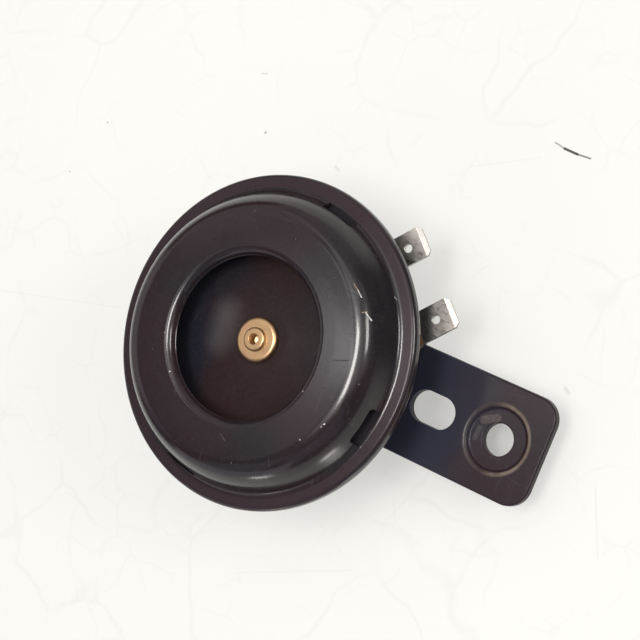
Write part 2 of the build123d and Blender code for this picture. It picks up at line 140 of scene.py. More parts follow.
def beside(pts, t, side):
    """The path of a sheet's other face: side +1 is to the left of the way it runs."""
    def line(p, q):
        d = (q[0] - p[0], q[1] - p[1])
        m = math.hypot(*d)
        d = (d[0] / m, d[1] / m)
        return (p[0] - d[1] * t * side, p[1] + d[0] * t * side), d

    out = []
    for i, p in enumerate(pts):
        rad = p[2] if len(p) > 2 else 0
        if i == 0:
            q, _ = line(p, pts[1])
            out.append((q[0], q[1], 0))
        elif i == len(pts) - 1:
            q, d = line(pts[i - 1], p)
            m = math.dist(pts[i - 1][:2], p[:2])
            out.append((q[0] + d[0] * m, q[1] + d[1] * m, 0))
        else:
            a, da = line(pts[i - 1], p)
            b, db = line(p, pts[i + 1])
            det = da[0] * db[1] - da[1] * db[0]
            k = ((b[0] - a[0]) * db[1] - (b[1] - a[1]) * db[0]) / det
            grow = -t if (det > 0) == (side > 0) else t
            out.append((a[0] + da[0] * k, a[1] + da[1] * k, max(0.02, rad + grow) if rad > 0 else 0))
    return out


def sheet_profile(pts, t, side, edge):
    """Closed profile of a pressed sheet whose two cut edges have that radius."""
    one = [(p[0], p[1], p[2] if len(p) > 2 else 0) for p in pts]
    two = beside(pts, t, side)[::-1]
    one[0], one[-1] = (*one[0][:2], edge), (*one[-1][:2], edge)
    two[0], two[-1] = (*two[0][:2], edge), (*two[-1][:2], edge)
    return one + two


# ------------------------------------------------------------------ meshes
def mesh_object(name, verts, faces, normals=None):
    """verts in the horn's frame, mm. normals, one a vertex, become the mesh's own."""
    me = bpy.data.meshes.new(name)
    me.from_pydata([tuple(v) for v in row_array(verts)], [], faces)
    me.update()
    ob = bpy.data.objects.new(name, me)
    bpy.context.scene.collection.objects.link(ob)
    me.polygons.foreach_set("use_smooth", [True] * len(me.polygons))
    if normals is not None:
        me.normals_split_custom_set_from_vertices([tuple(v) for v in normals])
    return ob


def lathe(name, profile, segs=256, closed=True, step=7.0, most=1.2, axis=(0.0, 0.0)):
    """A turned mesh from (r, z, corner radius) points. An open profile starts and ends on the axis."""
    pos, nor = rounded(profile, closed, step)
    pos, nor = filled(pos, nor, closed, most)
    area = sum(a[0] * b[1] - b[0] * a[1] for a, b in zip(pos, pos[1:] + pos[:1]))
    sign = 1 if area > 0 else -1
    n = len(pos)
    ang = np.arange(segs) * 2 * math.pi / segs
    cs, sn = np.cos(ang), np.sin(ang)
    verts, normals, index = [], [], []
    for (r, z), (u, w) in zip(pos, nor):
        if r < 1e-6:
            index.append([len(verts)] * segs)
            verts.append((axis[0], axis[1], z))
            normals.append((0, 0, 1 if w * sign > 0 else -1))
        else:
            index.append(list(range(len(verts), len(verts) + segs)))
            verts += [(axis[0] + r * c, axis[1] + r * s, z) for c, s in zip(cs, sn)]
            normals += [(u * sign * c, u * sign * s, w * sign) for c, s in zip(cs, sn)]
    faces = []
    for i in range(n if closed else n - 1):
        a, b = index[i], index[(i + 1) % n]
        for j in range(segs):
            k = (j + 1) % segs
            f = [a[j], a[k], b[k], b[j]]
            f = [v for x, v in enumerate(f) if v not in f[:x]]
            if len(f) > 2:
                faces.append(f if sign > 0 else f[::-1])
    ob = mesh_object(name, verts, faces, normals)
    ob["prof"] = 0
    return ob, (np.array(pos), np.array(nor) * sign)


def relight(ob, profile, axis=(0.0, 0.0), limit=0.85):
    """After a cut: turned faces keep the profile's own normals, cut faces are flat."""
    pos, nor = profile
    nxt_p, nxt_n = np.roll(pos, -1, 0), np.roll(nor, -1, 0)
    me = ob.data
    co = np.empty(len(me.vertices) * 3)
    me.vertices.foreach_get("co", co)
    co = co.reshape(-1, 3) * 1000 - np.array([-HX, 0, HZ])
    x, y = co[:, 0] - axis[0], co[:, 1] - axis[1]
    rr = np.hypot(x, y)
    pt = np.stack([rr, co[:, 2]], 1)
    best = np.full(len(pt), 1e9)
    got = np.zeros((len(pt), 2))
    for a, b, na, nb in zip(pos, nxt_p, nor, nxt_n):
        d = b - a
        t = np.clip(((pt - a) @ d) / max(d @ d, 1e-12), 0, 1)
        near = a + t[:, None] * d
        dist = np.hypot(*(pt - near).T)
        m = dist < best
        best[m] = dist[m]
        got[m] = (na + t[:, None] * (nb - na))[m]
    got /= np.maximum(np.hypot(*got.T), 1e-9)[:, None]
    safe = np.maximum(rr, 1e-9)
    vn = np.stack([got[:, 0] * x / safe, got[:, 0] * y / safe, got[:, 1]], 1)
    loops = np.empty(len(me.loops), int)
    me.loops.foreach_get("vertex_index", loops)
    out = np.zeros((len(loops), 3))
    for p in me.polygons:
        fn = np.array(p.normal)
        for k in p.loop_indices:
            v = loops[k]
            out[k] = vn[v] if best[v] < 0.03 and fn @ vn[v] > limit else fn
    me.polygons.foreach_set("use_smooth", [True] * len(me.polygons))
    me.normals_split_custom_set([tuple(v) for v in out])


def cut(ob, cutters):
    """Takes closed meshes away from ob, and applies it."""
    for c in cutters:
        m = ob.modifiers.new("cut", "BOOLEAN")
        m.operation, m.solver, m.object = "DIFFERENCE", "EXACT", c
    dg = bpy.context.evaluated_depsgraph_get()
    new = bpy.data.meshes.new_from_object(ob.evaluated_get(dg))
    ob.modifiers.clear()
    old = ob.data
    ob.data = new
    bpy.data.meshes.remove(old)
    new.name = ob.name
    for c in cutters:
        bpy.data.objects.remove(c)


def rod(name, x, y, r, z0, z1, segs=64):
    a = [i * 2 * math.pi / segs for i in range(segs)]
    v = [(x + r * math.cos(t), y + r * math.sin(t), z) for z in (z0, z1) for t in a]
    f = [[i, (i + 1) % segs, segs + (i + 1) % segs, segs + i] for i in range(segs)]
    f += [list(range(segs))[::-1], list(range(segs, 2 * segs))]
    return mesh_object(name, v, f)


def slug(name, w, h, depth, at, deg, z0, corner, low=None):
    """A rounded-corner block, w wide along the tangent and h high, through the wall at radius at."""
    pts = []
    low = corner if low is None else low
    for sx, sz, q, s in ((1, 0, low, -90), (1, 1, corner, 0), (-1, 1, corner, 90), (-1, 0, low, 180)):
        cx, cz = sx * (w / 2 - q), h - q if sz else q
        for k in range(9):
            t = math.radians(s + 90 * k / 8)
            pts.append((cx + q * math.cos(t), cz + q * math.sin(t)))
        if (sx, sz) in ((1, 1), (-1, 0)):       # points along the long sides, so that the outer face can follow its circle
            pts += [(sx * (w / 2 - q) * (1 - k / 6), h if sz else 0.0) for k in range(1, 12)]
    n = len(pts)
    c, s = math.cos(math.radians(deg)), math.sin(math.radians(deg))
    v = []
    for r, round_it in ((at - depth / 2, False), (at + depth / 2, True)):
        for y, z in pts:
            x = math.sqrt(r * r - y * y) if round_it else r
            v.append((x * c - y * s, x * s + y * c, z0 + z))
    f = [[i, (i + 1) % n, n + (i + 1) % n, n + i] for i in range(n)] + [list(range(n))[::-1], list(range(n, 2 * n))]
    ob = mesh_object(name, v, f)
    bm = bmesh.new()
    bm.from_mesh(ob.data)
    bmesh.ops.recalc_face_normals(bm, faces=bm.faces)
    bm.to_mesh(ob.data)
    bm.free()
    return ob


def own_copy(node, name, bevel=0.06, segments=3, angle=28, join=1.5):
    """The node's own shape with its flat faces joined and its edges slightly rounded."""
    ob = bpy.data.objects.new(name, NODES[node].data.copy())
    bpy.context.scene.collection.objects.link(ob)
    ob.data.materials.clear()
    bm = bmesh.new()
    bm.from_mesh(ob.data)
    bmesh.ops.remove_doubles(bm, verts=bm.verts, dist=2e-7)
    bmesh.ops.dissolve_limit(bm, angle_limit=math.radians(join), verts=bm.verts, edges=bm.edges)
    bm.to_mesh(ob.data)
    bm.free()
    if ob.data.has_custom_normals:
        ob.data.attributes.remove(ob.data.attributes["custom_normal"]) if "custom_normal" in ob.data.attributes else None
    ob.data.polygons.foreach_set("use_smooth", [True] * len(ob.data.polygons))
    if bevel:
        m = ob.modifiers.new("edges", "BEVEL")
        m.width, m.segments, m.limit_method, m.angle_limit = bevel / 1000, segments, "ANGLE", math.radians(angle)
        m.harden_normals, m.use_clamp_overlap = True, True
    return ob


def dress(ob, mat, body, *nodes, slot=None):
    ob.data.materials.clear()
    ob.data.materials.append(mat)
    if body:
        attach(ob, body)
    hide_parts(*nodes)
    return ob


# ------------------------------------------------------------------ materials
class Mat:
    """A small helper round one node material."""

    def __init__(self, name):
        self.m = bpy.data.materials.new(name)
        self.m.use_nodes = True
        self.t = self.m.node_tree
        self.t.nodes.clear()
        self.out = self.new("ShaderNodeOutputMaterial")
        self.b = self.new("ShaderNodeBsdfPrincipled")
        self.t.links.new(self.b.outputs[0], self.out.inputs[0])
        self.obj = self.new("ShaderNodeTexCoord").outputs["Object"]
        self.flat = None

    def new(self, kind, **props):
        n = self.t.nodes.new(kind)
        for k, v in props.items():
            setattr(n, k, v)
        return n

    def link(self, a, b):
        self.t.links.new(a, b)

    def put(self, socket, v):
        if isinstance(v, bpy.types.NodeSocket):
            self.link(v, socket)
        else:
            socket.default_value = v

    def noise(self, scale, detail=3.0, rough=0.55, vec=None, distortion=0.0):
        n = self.new("ShaderNodeTexNoise")
        self.link(vec or self.obj, n.inputs["Vector"])
        n.inputs["Scale"].default_value = scale
        n.inputs["Detail"].default_value = detail
        n.inputs["Roughness"].default_value = rough
        n.inputs["Distortion"].default_value = distortion
        return n.outputs["Fac"]

    def ramp(self, v, lo, hi, a=0.0, b=1.0):
        n = self.new("ShaderNodeMapRange")
        n.clamp = True
        n.interpolation_type = "SMOOTHSTEP"
        self.put(n.inputs[0], v)
        for i, x in zip((1, 2, 3, 4), (lo, hi, a, b)):
            n.inputs[i].default_value = x
        return n.outputs[0]

    def math(self, op, a, b=0.0, clamp=False):
        n = self.new("ShaderNodeMath", operation=op, use_clamp=clamp)
        self.put(n.inputs[0], a)
        self.put(n.inputs[1], b)
        return n.outputs[0]

    def vec(self, op, a, b=(0, 0, 0)):
        n = self.new("ShaderNodeVectorMath", operation=op)
        self.put(n.inputs[0], a)
        if op == "SCALE":
            self.put(n.inputs[3], b)
        else:
            self.put(n.inputs[1], b)
        return n.outputs["Value"] if op in ("LENGTH", "DOT_PRODUCT", "DISTANCE") else n.outputs["Vector"]

    def mix(self, fac, a, b, kind="MIX"):
        n = self.new("ShaderNodeMix", data_type="RGBA", blend_type=kind)
        self.put(n.inputs[0], fac)
        self.put(n.inputs[6], a if isinstance(a, bpy.types.NodeSocket) else (*a, 1))
        self.put(n.inputs[7], b if isinstance(b, bpy.types.NodeSocket) else (*b, 1))
        return n.outputs[2]

    def bump(self, height, dist, strength=1.0, normal=None):
        n = self.new("ShaderNodeBump")
        n.inputs["Strength"].default_value = strength
        n.inputs["Distance"].default_value = dist
        self.link(height, n.inputs["Height"])
        if normal is not None:
            self.link(normal, n.inputs["Normal"])
        return n.outputs["Normal"]

    def shifted(self, p):
        """Object coordinates with that point of the horn's frame, in mm, as their origin."""
        return self.vec("SUBTRACT", self.obj, tuple(row(p)))

    def segment(self, a, b, width, soft=0.5):
        """1 on the line from a to b, seen from above, falling to 0 at that half width, mm."""
        a, b = row((*a, -HZ)), row((*b, -HZ))
        d = b - a
        if self.flat is None:
            self.flat = self.vec("MULTIPLY", self.obj, (1, 1, 0))
        rel = self.vec("SUBTRACT", self.flat, tuple(a))
        t = self.math("MULTIPLY", self.vec("DOT_PRODUCT", rel, tuple(d)), 1 / max(d.length_squared, 1e-12), clamp=True)
        off = self.vec("SUBTRACT", rel, self.vec("SCALE", tuple(d), t))
        return self.ramp(self.vec("LENGTH", off), width / 1000 * soft, width / 1000, 1.0, 0.0)

    def set(self, **kw):
        names = {"color": "Base Color", "rough": "Roughness", "metal": "Metallic", "normal": "Normal", "ior": "IOR", "coat": "Coat Weight", "coat_rough": "Coat Roughness", "spec": "Specular IOR Level", "aniso": "Anisotropic"}
        for k, v in kw.items():
            s = self.b.inputs[names[k]]
            if k == "color" and not isinstance(v, bpy.types.NodeSocket):
                v = (*v, 1)
            self.put(s, v)
        return self.m


def paint(name, marks=(), brown=0.5, rough=(0.26, 0.36), shift=0.0, base=0.0061, dust=0.4, spec=0.09, coat=0.62, scuff=0.10, reflected_tint_x=None, ring=None, tone=(1.8, 0.98, 1.22), matt=None, fall=None, deep=None, painted_sheen=None):
    """Satin-gloss black electrocoat: slight drift between brown and blue black, orange peel, smears, scuffs, dust."""
    m = Mat(name)
    drift = m.ramp(m.noise(34 + shift, 2.0), 0.5 - 0.22 * brown - 0.02, 0.62 - 0.1 * brown)
    k = base
    col = m.mix(drift, (k * 1.2, k * 0.95, k * 1.15), tuple(k * v for v in tone))
    # painted reflection and shade: blue black below the first x, fading to the paint's own colour by the second
    if reflected_tint_x is not None:
        x = m.new("ShaderNodeSeparateXYZ")
        m.link(m.obj, x.inputs[0])
        REFLECTED_BLUE = (k * reflected_tint_x[2], k * reflected_tint_x[2] * 1.08, k * reflected_tint_x[2] * 1.8)
        wander = m.math("ADD", x.outputs[0], m.ramp(m.noise(60, 2.0), 0.3, 0.7, -0.003, 0.003))
        col = m.mix(m.ramp(wander, (reflected_tint_x[0] - HX) / 1000, (reflected_tint_x[1] - HX) / 1000), REFLECTED_BLUE, col)
    fine = m.noise(1500, 2.0)
    col = m.mix(m.ramp(fine, 0.35, 0.75, 0.0, 0.35), col, (k * 2.2, k * 2.0, k * 2.0))
    smear = m.noise(150, 4.0, 0.6, distortion=0.6)
    r = m.ramp(smear, 0.3, 0.75, rough[0], rough[1])
    # dust: a few small pale specks
    v = m.new("ShaderNodeTexVoronoi", feature="F1")
    m.link(m.obj, v.inputs["Vector"])
    v.inputs["Scale"].default_value = 520
    keep = m.ramp(m.vec("DOT_PRODUCT", v.outputs["Color"], (0.33, 0.33, 0.34)), 0.80, 0.82)
    speck = m.math("MULTIPLY", m.ramp(v.outputs["Distance"], 0.035, 0.07, 1.0, 0.0), keep)
    col = m.mix(m.math("MULTIPLY", speck, dust), col, (0.16, 0.15, 0.14))
    # scuffs: short faint lines all over, in two directions
    h = m.noise(620, 3.0, 0.5)
    lines = None
    for i, (sx, sy, sz, lo) in enumerate(((2600, 120, 700, 0.66), (160, 2400, 700, 0.67))):
        mp = m.new("ShaderNodeMapping")
        m.link(m.obj, mp.inputs["Vector"])
        mp.inputs["Rotation"].default_value = (0.0, 0.0, 0.5 + 0.9 * i + shift)
        mp.inputs["Scale"].default_value = (sx / 100, sy / 100, sz / 100)
        f = m.ramp(m.noise(100, 1.0, 0.4, vec=mp.outputs[0]), lo, lo + 0.06)
        f = m.math("MULTIPLY", f, m.ramp(m.noise(90 + 13 * i, 2.0), 0.5, 0.68))
        lines = f if lines is None else m.math("MAXIMUM", lines, f)
    col = m.mix(m.math("MULTIPLY", lines, scuff), col, (0.10, 0.09, 0.088))
    r = m.math("ADD", r, m.math("MULTIPLY", lines, 0.10))
    # the paint rubbed thin on a pressed ring's crest together with a painted highlight there, strongest from one side
    # round to the other
    if ring is not None:
        rel = m.vec("MULTIPLY", m.shifted((ring[0], ring[1], 0)), (1, 1, 0))
        xy = m.new("ShaderNodeSeparateXYZ")
        m.link(rel, xy.inputs[0])
        turn = m.math("ARCTAN2", xy.outputs[1], xy.outputs[0])
        span = m.math("MULTIPLY", m.ramp(turn, math.radians(-100), math.radians(-50)), m.ramp(turn, math.radians(70), math.radians(125), 1.0, 0.0))
        off = m.math("ABSOLUTE", m.math("SUBTRACT", m.vec("LENGTH", rel), ring[2] / 1000))
        worn_and_highlit = m.math("MULTIPLY", m.ramp(off, 0.00010, 0.00062, 1.0, 0.0), m.math("ADD", m.math("MULTIPLY", span, 0.85), 0.15))
        worn_and_highlit = m.math("MULTIPLY", worn_and_highlit, m.ramp(m.noise(420, 3.0), 0.3, 0.7, 0.55, 1.0))
        col = m.mix(m.math("MULTIPLY", worn_and_highlit, 0.72), col, (0.155, 0.120, 0.095))
    # marks, mostly real ones, some pale patches partly painted highlight: (from, to, half width, strength, colour)
    dip = None
    for a, b, w, s, c in marks:
        f = m.segment(a, b, w)
        ragged = m.ramp(m.noise(2600, 2.0), 0.34, 0.56, 0.45, 1.0)
        f = m.math("MULTIPLY", f, ragged)
        col = m.mix(m.math("MULTIPLY", f, s), col, c)
        dip = f if dip is None else m.math("MAXIMUM", dip, f)
    # a painted pale reflection on the surface, then the flange's duller paint, then painted shade beyond a radius
    reach = m.vec("LENGTH", m.vec("MULTIPLY", m.shifted((0, 0, 0)), (1, 1, 0)))
    # painted reflection: a soft pale patch where the surface would mirror a light
    if painted_sheen is not None:
        f = m.segment(painted_sheen[0], painted_sheen[1], painted_sheen[2], soft=0.0)
        f = m.math("MULTIPLY", f, m.ramp(m.noise(230, 4.0, 0.6), 0.25, 0.75, 0.7, 1.0))
        col = m.mix(m.math("MULTIPLY", f, painted_sheen[3]), col, painted_sheen[4])
    if matt is not None:
        f = m.math("MULTIPLY", m.ramp(reach, matt[0] / 1000, matt[1] / 1000), m.ramp(reach, matt[2] / 1000, matt[3] / 1000, 1.0, 0.0))
        col = m.mix(f, col, tuple(k * v for v in matt[5]))
        coat = m.math("SUBTRACT", coat, m.math("MULTIPLY", f, coat - matt[4]))
    # painted shade: darker beyond that radius, out under the cover's rim where little light reaches
    if deep is not None:
        col = m.mix(m.ramp(reach, deep / 1000, (deep + 0.7) / 1000), col, (0.0125, 0.0105, 0.0128))
    n = m.bump(h, 0.0000035)
    n = m.bump(m.noise(3800, 2.0), 0.0000006, normal=n)
    if fall is not None:        # the flat top falls away a little before the shoulder
        n = m.bump(m.ramp(reach, fall[0] / 1000, fall[1] / 1000, 1.0, 0.0), fall[2] / 1000, normal=n)
    if dip is not None:
        n = m.bump(dip, 0.00003, strength=0.6, normal=n)
        r = m.math("ADD", r, m.math("MULTIPLY", dip, 0.15))
    m.set(color=col, rough=r, normal=n, metal=0.0, ior=1.5, spec=spec, coat=coat, coat_rough=0.15)
    m.link(n, m.b.inputs["Coat Normal"])
    return m.m


def plated(name, colour, other, rough=(0.25, 0.4), rings=None, ring_scale=900.0, brush=None, stain=None, stain_at=0.6, grain=0.5, painted_tip_shade=None):
    """Plated or bare metal: two tones that drift, turned rings or a brushed grain, stains."""
    m = Mat(name)
    col = m.mix(m.ramp(m.noise(420, 3.0, 0.6), 0.35, 0.66), colour, other)
    r = m.ramp(m.noise(1100, 3.0, 0.6), 0.3, 0.7, *rough)
    n = m.bump(m.noise(5200, 2.0), 0.0000012 * grain)
    if rings is not None:
        p = m.shifted(rings)
        w = m.new("ShaderNodeTexWave", wave_type="RINGS", rings_direction="Z", wave_profile="SIN")
        m.link(p, w.inputs["Vector"])
        w.inputs["Scale"].default_value = ring_scale
        w.inputs["Distortion"].default_value = 1.2
        w.inputs["Detail"].default_value = 2.0
        w.inputs["Detail Scale"].default_value = 1.4
        n = m.bump(w.outputs["Fac"], 0.0000028 * grain, normal=n)
        col = m.mix(m.ramp(w.outputs["Fac"], 0.0, 1.0, 0.0, 0.18), col, tuple(c * 0.72 for c in colour))
    if brush is not None:
        mp = m.new("ShaderNodeMapping")
        m.link(m.obj, mp.inputs["Vector"])
        mp.inputs["Rotation"].default_value = (0, 0, -brush)
        mp.inputs["Scale"].default_value = (6, 110, 110)
        g = m.noise(60, 3.0, 0.6, vec=mp.outputs[0])
        n = m.bump(g, 0.000003 * grain, normal=n)
        r = m.math("ADD", r, m.ramp(g, 0.3, 0.7, -0.05, 0.08))
    if stain is not None:
        f = m.ramp(m.noise(300, 4.0, 0.65, distortion=0.8), stain_at - 0.12, stain_at + 0.14)
        col = m.mix(m.math("MULTIPLY", f, 0.6), col, stain)
        r = m.math("ADD", r, m.math("MULTIPLY", f, 0.05))
    if painted_tip_shade is not None:         # painted shade: darker from the root towards the tip, which tones the tip's bright reflection down
        along = m.vec("DOT_PRODUCT", m.shifted((0, 0, 0)), (math.cos(brush), math.sin(brush), 0.0))
        col = m.mix(m.ramp(along, painted_tip_shade[0] / 1000, painted_tip_shade[1] / 1000), col, m.mix(1.0, col, (painted_tip_shade[2],) * 3, kind="MULTIPLY"))
    m.set(color=col, rough=r, normal=n, metal=1.0)
    return m.m


def dull(name, colour, other, rough=(0.45, 0.6), scale=700, stretch=None, bump=0.000004):
    """Board, paper, nylon or insulation."""
    m = Mat(name)
    vec = None
    if stretch:
        mp = m.new("ShaderNodeMapping")
        m.link(m.obj, mp.inputs["Vector"])
        mp.inputs["Rotation"].default_value = (0, 0, 0.82)
        mp.inputs["Scale"].default_value = stretch
        vec = mp.outputs[0]
    f = m.noise(scale, 4.0, 0.6, vec=vec)
    col = m.mix(m.ramp(f, 0.35, 0.68), colour, other)
    m.set(color=col, rough=m.ramp(m.noise(scale * 0.5, 3.0), 0.3, 0.7, *rough), normal=m.bump(f, bump), metal=0.0)
    return m.m


def winding(name):
    """Enamelled wire, wound in layers: the turns show as fine ridges along the axis."""
    m = Mat(name)
    w = m.new("ShaderNodeTexWave", wave_type="BANDS", bands_direction="Z", wave_profile="SIN")
    m.link(m.obj, w.inputs["Vector"])
    w.inputs["Scale"].default_value = 560
    w.inputs["Distortion"].default_value = 0.25
    # painted shade: the colour is darker in the grooves between the turns, lighter on their crests
    col = m.mix(m.ramp(w.outputs["Fac"], 0, 0.6), (0.16, 0.055, 0.02), (0.62, 0.26, 0.11))
    col = m.mix(m.ramp(m.noise(350), 0.4, 0.7, 0, 0.4), col, (0.45, 0.14, 0.05))
    m.set(color=col, rough=0.3, metal=0.85, normal=m.bump(w.outputs["Fac"], 0.00006))
    return m.m


# ------------------------------------------------------------------ sizes, mm, as the CAD model has them
RIM_R, SHEET, COVER_T, DIA_T, GASKET_T = 32.985, 0.7, 0.6, 0.3, 0.3
STACK_R, LIP_R, FOOT_R, DOME_Z, DOME_R = 31.85, 30.1, 29.75, 7.61, 4.3
WALL_TOP, WALL_MID = (25.36, DOME_Z), (27.82, 4.92)
MOUTH_R, MOUTH_Z, LIP_ROLL = 16.05, 5.9, 1.65
SLOT_N, SLOT_A0, SLOT_W, SLOT_TOP = 4, -12.6, 7.7, 2.55
DIA_Z, WASHER_R, WASHER_T, SPIGOT_R, BOSS_R, BOSS_Z, BOSS_HOLE_R = 1.2, 4.5, 1.25, 2.25, 2.35, 3.25, 1.05
PAN_R, PAN_Z, CUP_R, CUP_Z, STUD_R = 27.3, -9.6, 19.0, -17.98, 4.0
BR_Z, BR_T, BR_W, BR_END, BR_CORNER = -18.0, 2.0, 22.0, 55.6, 4.5
Z_DIA = -COVER_T - GASKET_T
Z_FLANGE = Z_DIA - DIA_T - GASKET_T
RIM_Z = Z_FLANGE - SHEET - COVER_T
BLADE_DIR = math.radians(47.2)


def blade(s, t, z):
    c, q = math.cos(BLADE_DIR), math.sin(BLADE_DIR)
    return (s * c - t * q, s * q + t * c, z)


def polar(r, deg, z=0.0):
    return (r * math.cos(math.radians(deg)), r * math.sin(math.radians(deg)), z)


# ------------------------------------------------------------------ finishes
PALE, WARM, DIM, NIGHT = (0.62, 0.60, 0.58), (0.50, 0.37, 0.24), (0.10, 0.095, 0.10), (0.003, 0.003, 0.0035)
MARKS = [
    ((17.96, 17.76), (19.3, 16.9), 0.08, 0.40, WARM), ((19.3, 16.9), (20.43, 15.95), 0.10, 0.42, PALE),
    ((22.29, 13.71), (23.68, 12.75), 0.13, 0.44, PALE), ((21.8, 13.5), (22.4, 13.9), 0.09, 0.41, WARM),
    ((3.67, -18.57), (5.07, -19.42), 0.08, 0.20, DIM), ((-12.28, -12.26), (-12.2, -12.2), 0.14, 0.54, PALE),
    ((-9.64, -14.98), (-9.3, -15.4), 0.10, 0.24, DIM), ((16.71, -4.50), (16.8, -4.4), 0.12, 0.44, PALE),
    ((23.36, -8.35), (23.5, -8.2), 0.14, 0.58, PALE), ((23.0, -8.9), (23.1, -9.0), 0.10, 0.41, PALE),
    ((19.97, -12.83), (20.1, -12.9), 0.12, 0.37, PALE), ((18.40, 6.86), (19.11, 5.34), 0.05, 0.27, DIM),
    ((20.34, 3.22), (23.43, 4.47), 0.09, 0.42, NIGHT), ((26.45, 1.03), (26.5, 1.1), 0.14, 0.27, (0.16, 0.17, 0.22)),
    ((28.45, -10.09), (28.6, -10.2), 0.11, 0.10, PALE), ((15.23, -18.32), (15.78, -20.10), 0.06, 0.15, DIM),
    ((23.40, 18.20), (23.9, 17.9), 0.11, 0.14, PALE), ((-8.02, 22.76), (-7.6, 23.3), 0.06, 0.20, DIM),
    ((-16.69, -5.80), (-16.6, -5.7), 0.12, 0.34, PALE), ((8.2, -22.6), (8.4, -22.9), 0.09, 0.24, DIM),
]
cover_black = paint("cover_black", marks=MARKS, matt=(30.25, 30.6, 32.3, 32.6, 0.17, (2.75, 1.78, 2.15)), fall=(20.0, 25.3, 0.105))
housing_black = paint("housing_black", shift=0.7)
# on the strap: blue black near the horn, a painted reflection of the horn's body; two pale patches on the dimple's
# slope left of the bolt hole, partly wear and partly painted highlight; the dimple's crest rubbed thin with a painted
# highlight on its right side
bracket_black = paint("bracket_black", shift=1.9, brown=1.0, base=0.0070, rough=(0.34, 0.42), spec=0.09, coat=0.10, tone=(1.75, 0.86, 1.27), reflected_tint_x=(31, 46, 1.75), marks=[((-4.2 + HX, 2.4), (-1.8 + HX, 3.7), 1.1, 0.38, (0.085, 0.07, 0.06)), ((-4.6 + HX, -1.6), (-4.5 + HX, 0.6), 0.7, 0.22, (0.085, 0.075, 0.07))], ring=(HX, 0, 6.72))
# on the diaphragm: blue black on the side under the lip, painted shade and reflection; a pale painted reflection left
# of the centre; painted shade beyond 24 mm out
diaphragm_black = paint("diaphragm_black", brown=1.0, rough=(0.36, 0.44), shift=0.3, base=0.0074, spec=0.05, coat=0.02, scuff=0.05, reflected_tint_x=(-17, -4, 0.85), tone=(1.9, 0.98, 1.0), deep=24.0, painted_sheen=((-8.6, -2.6), (-9.0, 2.0), 5.5, 0.30, (0.085, 0.078, 0.078)))
yellow_zinc = plated("yellow_zinc", (0.44, 0.295, 0.155), (0.42, 0.26, 0.145), rough=(0.34, 0.46), rings=(0, 0, 0), ring_scale=700, grain=2.0)
# the blades darker towards their tips, painted shade
nickel = plated("nickel_blade", (0.53, 0.50, 0.468), (0.45, 0.422, 0.39), rough=(0.29, 0.36), brush=BLADE_DIR, grain=0.1, painted_tip_shade=(32.5, 37.5, 0.50))
zinc = plated("bright_zinc", (0.62, 0.63, 0.66), (0.50, 0.52, 0.56), rough=(0.26, 0.4), stain=(0.36, 0.35, 0.33), stain_at=0.66)
steel = plated("bare_steel", (0.46, 0.45, 0.45), (0.36, 0.35, 0.34), rough=(0.32, 0.5), rings=(0, 0, 0), ring_scale=500, stain=(0.20, 0.13, 0.09), stain_at=0.7)
bronze = plated("spring_bronze", (0.72, 0.47, 0.25), (0.62, 0.38, 0.20), rough=(0.3, 0.42), brush=math.radians(225))
tungsten = plated("contact_metal", (0.55, 0.55, 0.57), (0.42, 0.42, 0.45), rough=(0.2, 0.3), rings=polar(17.2, 225), ring_scale=1500)
phenolic = dull("phenolic_board", (0.16, 0.075, 0.035), (0.24, 0.12, 0.06), rough=(0.38, 0.5), scale=500, stretch=(0.25, 1.6, 1.0))
paper = dull("gasket_paper", (0.30, 0.24, 0.17), (0.21, 0.165, 0.12), rough=(0.7, 0.85), scale=1400)
nylon = dull("natural_nylon", (0.72, 0.69, 0.60), (0.62, 0.59, 0.50), rough=(0.4, 0.5), scale=500)
insulation = dull("lead_insulation", (0.42, 0.03, 0.02), (0.33, 0.025, 0.018), rough=(0.3, 0.4), scale=600)
copper = winding("copper_winding")

# ------------------------------------------------------------------ front cover
cover_path = [
    (LIP_R, RIM_Z), (RIM_R, RIM_Z, 0.95), (RIM_R, 0, 1.05), (FOOT_R, 0, 1.3), (*WALL_MID, 10.4), (*WALL_TOP, DOME_R),
    (MOUTH_R + 0.05, DOME_Z, LIP_ROLL), (MOUTH_R, MOUTH_Z + 0.24, 0.1), (MOUTH_R - 0.2, MOUTH_Z + 0.03),
]
cover, prof = lathe("front_cover_shell", sheet_profile(cover_path, COVER_T, 1, 0.14), segs=264, step=4, most=1.0)
cut(cover, [slug("slot", SLOT_W, SLOT_TOP + 0.4, 3.85, 28.025, SLOT_A0 + 90 * i, -0.4, 0.9, low=0.05) for i in range(SLOT_N)])
relight(cover, prof)
dress(cover, cover_black, "horn", "front_cover")

# ------------------------------------------------------------------ rear housing
housing_path = [
    (STACK_R, Z_FLANGE - SHEET), (PAN_R, Z_FLANGE - SHEET, 0.8),
    (PAN_R - 0.4, PAN_Z, 1.5), (CUP_R, PAN_Z, 0.6), (CUP_R, CUP_Z, 2.0), (STUD_R + 0.1, CUP_Z),
]
housing, prof = lathe("rear_housing_shell", sheet_profile(housing_path, SHEET, -1, 0.16), segs=384, step=6, most=1.4)
riv = [blade(22.2, 6.1, 0), blade(20.9, -9.3, 0)]
screw_at = polar(23.2, 200)
pin_at = polar(22.8, 225)
holes = [(riv[0], 2.4), (riv[1], 2.4), (screw_at, 2.5), (pin_at, 1.4)]
cut(housing, [rod("hole", p[0], p[1], r, PAN_Z - 1, PAN_Z + 2) for p, r in holes])
relight(housing, prof)
dress(housing, housing_black, "horn", "rear_housing")

